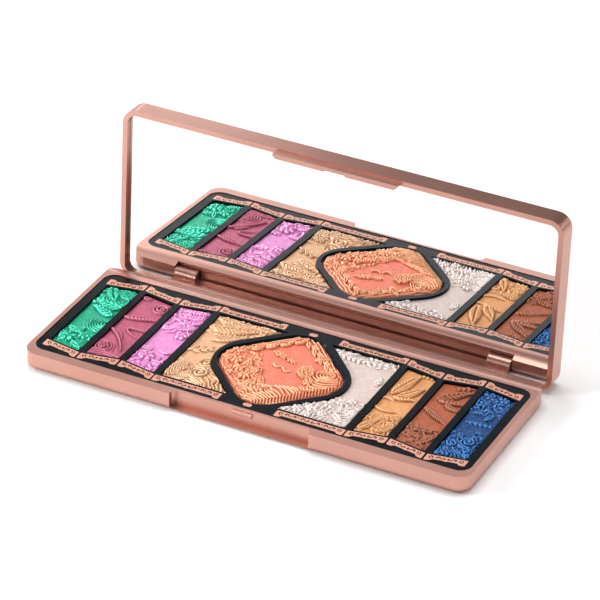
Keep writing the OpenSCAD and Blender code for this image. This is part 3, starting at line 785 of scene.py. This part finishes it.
def stroke(path, widths):
    """Closed outline of a stroke with the given width at each point of its path."""
    path = np.array(path, float)
    way = np.gradient(path, axis=0)
    way /= np.linalg.norm(way, axis=1)[:, None]
    side = np.stack([-way[:, 1], way[:, 0]], axis=1) * np.array(widths)[:, None] / 2
    return np.concatenate([path + side, (path - side)[::-1]])


def curl(x, y, radius, start, sweep, width):
    """Tapered spiral stroke that winds inwards."""
    t = np.linspace(0, 1, 14)
    angle = np.radians(start + sweep * t)
    r = radius * (1 - 0.62 * t)
    path = np.stack([x + r * np.cos(angle), y + r * np.sin(angle)], axis=1)
    return stroke(path, width * (0.35 + 0.65 * np.sin(math.pi * np.clip(t * 0.9 + 0.1, 0, 1))))


def chevron(x, y, depth, height, width):
    """Arrowhead stroke that points towards -x."""
    return np.array([
        [x, y], [x + depth, y + height / 2], [x + depth + width, y + height / 2],
        [x + width, y], [x + depth + width, y - height / 2], [x + depth, y - height / 2]])


def lozenge(x, y, half_w, half_h):
    return np.array([[x - half_w, y], [x, y - half_h], [x + half_w, y], [x, y + half_h]])


def half_pattern(length, body, curls):
    """Dark cut-outs in the left half of a bar, from its end to its middle."""
    end = -length / 2
    y = body / 2
    cuts = [chevron(end + 0.9, y, depth=0.65, height=1.7, width=0.44),
            chevron(end + 1.8, y, depth=0.5, height=1.4, width=0.38)]
    start = end + CURLS_START
    pitch = (-BOW_REACH - BOW_GAP - start) / curls
    for n in range(curls):
        up = 1 if n % 2 == 0 else -1
        cuts.append(curl(start + 0.4 * pitch, y, radius=0.72, start=90 - 70 * up, sweep=-290 * up, width=0.5))
        cuts.append(lozenge(start + 0.88 * pitch, y + 0.25 * up, half_w=0.28, half_h=0.5))
        start += pitch
    return cuts


def bar_outline(length):
    """A bar's outline: straight beside the opening, with a taller part at each end."""
    half = length / 2
    inner = half - BAR_STEP_X
    peak, waist, knob = BAR_END + 0.18, BAR_MIDDLE - 0.05, BAR_MIDDLE + 0.22
    right = [[half, 0], [half, BAR_END], [half - 0.7, peak], [inner + 0.3, BAR_END],
             [inner - 0.5, BAR_MIDDLE], [0.9, waist]]
    left = [[-x, y] for x, y in reversed(right)]
    return np.array(left[-1:] + right + [[0, knob]] + left[:-1])


def bar_shapes(length, curls):
    """Outline and cut-outs of one bar."""
    left = half_pattern(length, BAR_MIDDLE, curls)
    right = [cut * [-1, 1] for cut in left]
    y = BAR_MIDDLE / 2
    wing = np.array([[-BOW_REACH, y - BOW_H], [-BOW_KNOT, y], [-BOW_REACH, y + BOW_H]])
    middle = [wing, wing * [-1, 1]]
    return [bar_outline(length)] + left + right + middle


def place_shapes(shapes, x, y, slope, flip):
    """Moves shapes from a bar's own frame to the insert: slanted by slope, and turned outwards by flip."""
    placed = []
    for shape in shapes:
        u, v = shape[:, 0], shape[:, 1]
        placed.append(np.stack([x + u, y + slope * u + flip * v], axis=1))
    return placed


def foil_piece(name, shapes):
    """Flat curves with their cut-outs, given a thickness and made into a mesh."""
    curve = bpy.data.curves.new(name, "CURVE")
    curve.dimensions = "2D"
    curve.fill_mode = "BOTH"
    curve.extrude = FOIL_T / 2 * MM
    for shape in shapes:
        spline = curve.splines.new("POLY")
        spline.points.add(len(shape) - 1)
        for point, (x, y) in zip(spline.points, shape):
            point.co = (x * MM, y * MM, 0, 1)
        spline.use_cyclic_u = True
    maker = bpy.data.objects.new(name + "_curve", curve)
    bpy.context.scene.collection.objects.link(maker)
    bpy.context.view_layer.update()
    mesh = bpy.data.meshes.new_from_object(maker.evaluated_get(bpy.context.evaluated_depsgraph_get()))
    bpy.data.objects.remove(maker)
    mesh.transform(Matrix.Translation((0, 0, (PLATE_Z + FOIL_T / 2) * MM)))
    mesh.materials.clear()
    mesh.materials.append(FOIL)
    piece = bpy.data.objects.new(name, mesh)
    bpy.context.scene.collection.objects.link(piece)
    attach(piece, "base")


def narrow_bars():
    """Bars of the six narrow openings: shapes along the front and along the back."""
    front, back = [], []
    pitch = abs(box_mm("powder_rose")[0][0] - box_mm("powder_orchid")[0][0])
    shapes = bar_shapes(pitch - BAR_SPLIT, 1)
    for shades, side in ((LEFT_SHADES, -1), (RIGHT_SHADES, 1)):
        for n, shade in enumerate(shades):
            low, high = box_mm(f"powder_{shade}")
            rank = n if side > 0 else len(shades) - 1 - n
            width = high[0] - low[0] - 2 * POWDER_LAP
            slope = side * (-1 if rank % 2 == 0 else 1) * END_SLANT / width
            x = (low[0] + high[0]) / 2
            y_back = high[1] - POWDER_LAP - END_SLANT / 2 + BAR_GAP
            y_front = low[1] + POWDER_LAP + END_SLANT / 2 - BAR_GAP
            back += place_shapes(shapes, x, y_back, slope, 1)
            front += place_shapes(shapes, x, y_front, -slope, -1)
    return front, back


def wide_bars():
    """Bars of the two wide openings: shapes along the front and along the back."""
    front, back = [], []
    for shade, side in (("champagne", -1), ("pearl", 1)):
        low, high = box_mm(f"powder_{shade}")
        outer = max(abs(low[0]), abs(high[0])) + WIDE_BAR_PAST
        shapes = bar_shapes(outer - WIDE_BAR_START, 3)
        x = side * (outer + WIDE_BAR_START) / 2
        back += place_shapes(shapes, x, high[1] - POWDER_LAP + BAR_GAP - WIDE_BAR_NEARER, 0, 1)
        front += place_shapes(shapes, x, low[1] + POWDER_LAP - BAR_GAP, 0, -1)
    return front, back


def foil_diamonds():
    """Two small diamonds with clipped points, in front of the ring and behind it."""
    w, h, flat_w, flat_h = DIAMOND_W, DIAMOND_H, DIAMOND_FLAT_W, DIAMOND_FLAT_H
    shape = np.array([[-w, -flat_h], [-flat_w, -h], [flat_w, -h], [w, -flat_h],
                      [w, flat_h], [flat_w, h], [-flat_w, h], [-w, flat_h]])
    return [shape + [0, INSERT_Y + side * DIAMOND_Y] for side in (-1, 1)]


def make_foil():
    narrow_front, narrow_back = narrow_bars()
    wide_front, wide_back = wide_bars()
    foil_piece("foil_front", narrow_front + wide_front)
    foil_piece("foil_back", narrow_back + wide_back)
    foil_piece("foil_diamonds", foil_diamonds())


# ---- Stage, light and camera ----

def make_floor():
    bpy.ops.mesh.primitive_plane_add(size=6.0, location=(0, 0, 0))
    floor = bpy.context.object
    floor.name = "floor"
    shader = Shader("paper_white", 0.9)
    shader.colour(shader.ramp(shader.noise(60, 2), [(0.3, 0.94), (0.7, 0.955)]))
    floor.data.materials.append(shader.material)


def area_light(name, place, aim, size, power):
    """White rectangular light; its place, its aim and its size are in millimetres."""
    data = bpy.data.lights.new(name, "AREA")
    data.shape = "RECTANGLE"
    data.size, data.size_y = size[0] * MM, size[1] * MM
    data.energy = power
    light = bpy.data.objects.new(name, data)
    place, aim = Vector(place) * MM, Vector(aim) * MM
    light.location = place
    light.rotation_mode = "QUATERNION"
    light.rotation_quaternion = (aim - place).to_track_quat("-Z", "Y")
    bpy.context.scene.collection.objects.link(light)


WORLD_STRENGTH = 0.11


def make_light():
    world = bpy.data.worlds.new("studio")
    bpy.context.scene.world = world
    world.use_nodes = True
    background = world.node_tree.nodes["Background"]
    background.inputs["Color"].default_value = (1, 1, 1, 1)
    background.inputs["Strength"].default_value = WORLD_STRENGTH
    area_light("key_left", (-620, 60, 330), (0, 0, 0), (160, 160), 0.6)
    area_light("left_front", (-500, -330, 300), (0, 0, 0), (220, 220), 2.5)
    area_light("front_card", (-300, -700, 420), (0, 0, 20), (500, 360), 0.85)
    area_light("overhead", (-40, 160, 900), (0, 0, 0), (700, 500), 5.7)
    area_light("card_back_left", (-330, 420, 190), (-60, 0, 20), (260, 160), 0.25)
    area_light("card_back", (-420, 860, 560), (0, 30, 40), (500, 400), 0.05)
    area_light("right_card", (620, -60, 260), (0, 0, 0), (300, 260), 0.7)
    area_light("floor_right", (520, 420, 300), (330, 120, 0), (200, 200), 0.8)


CAMERA_MM = (464.9, -936.3, 676.0)      # the camera's place
CAMERA_TURN, CAMERA_TILT, CAMERA_ROLL = 26.122, 31.624, 1.14    # degrees: round to the right, down, rolled
CAMERA_LENS = 229.06                    # focal length on a sensor 36 mm wide


def make_camera():
    a, e, roll = (math.radians(v) for v in (CAMERA_TURN, CAMERA_TILT, CAMERA_ROLL))
    back = Vector((math.sin(a) * math.cos(e), -math.cos(a) * math.cos(e), math.sin(e)))
    right = Vector((math.cos(a), math.sin(a), 0))
    up = back.cross(right)
    right, up = (math.cos(roll) * right + math.sin(roll) * up,
                 math.cos(roll) * up - math.sin(roll) * right)
    data = bpy.data.cameras.new("camera")
    data.lens = CAMERA_LENS
    data.sensor_width = 36
    data.clip_start, data.clip_end = 0.05, 20
    camera = bpy.data.objects.new("camera", data)
    camera.matrix_world = Matrix((
        (right.x, up.x, back.x, CAMERA_MM[0] * MM), (right.y, up.y, back.y, CAMERA_MM[1] * MM),
        (right.z, up.z, back.z, CAMERA_MM[2] * MM), (0, 0, 0, 1)))
    bpy.context.scene.collection.objects.link(camera)
    bpy.context.scene.camera = camera


make_camera()
dress_cad_nodes()
make_powders()
make_foil()
make_floor()
make_light()
bpy.context.scene.view_settings.view_transform = "Standard"
bpy.context.scene.view_settings.look = "Medium High Contrast"
bpy.context.scene.view_settings.exposure = -0.12
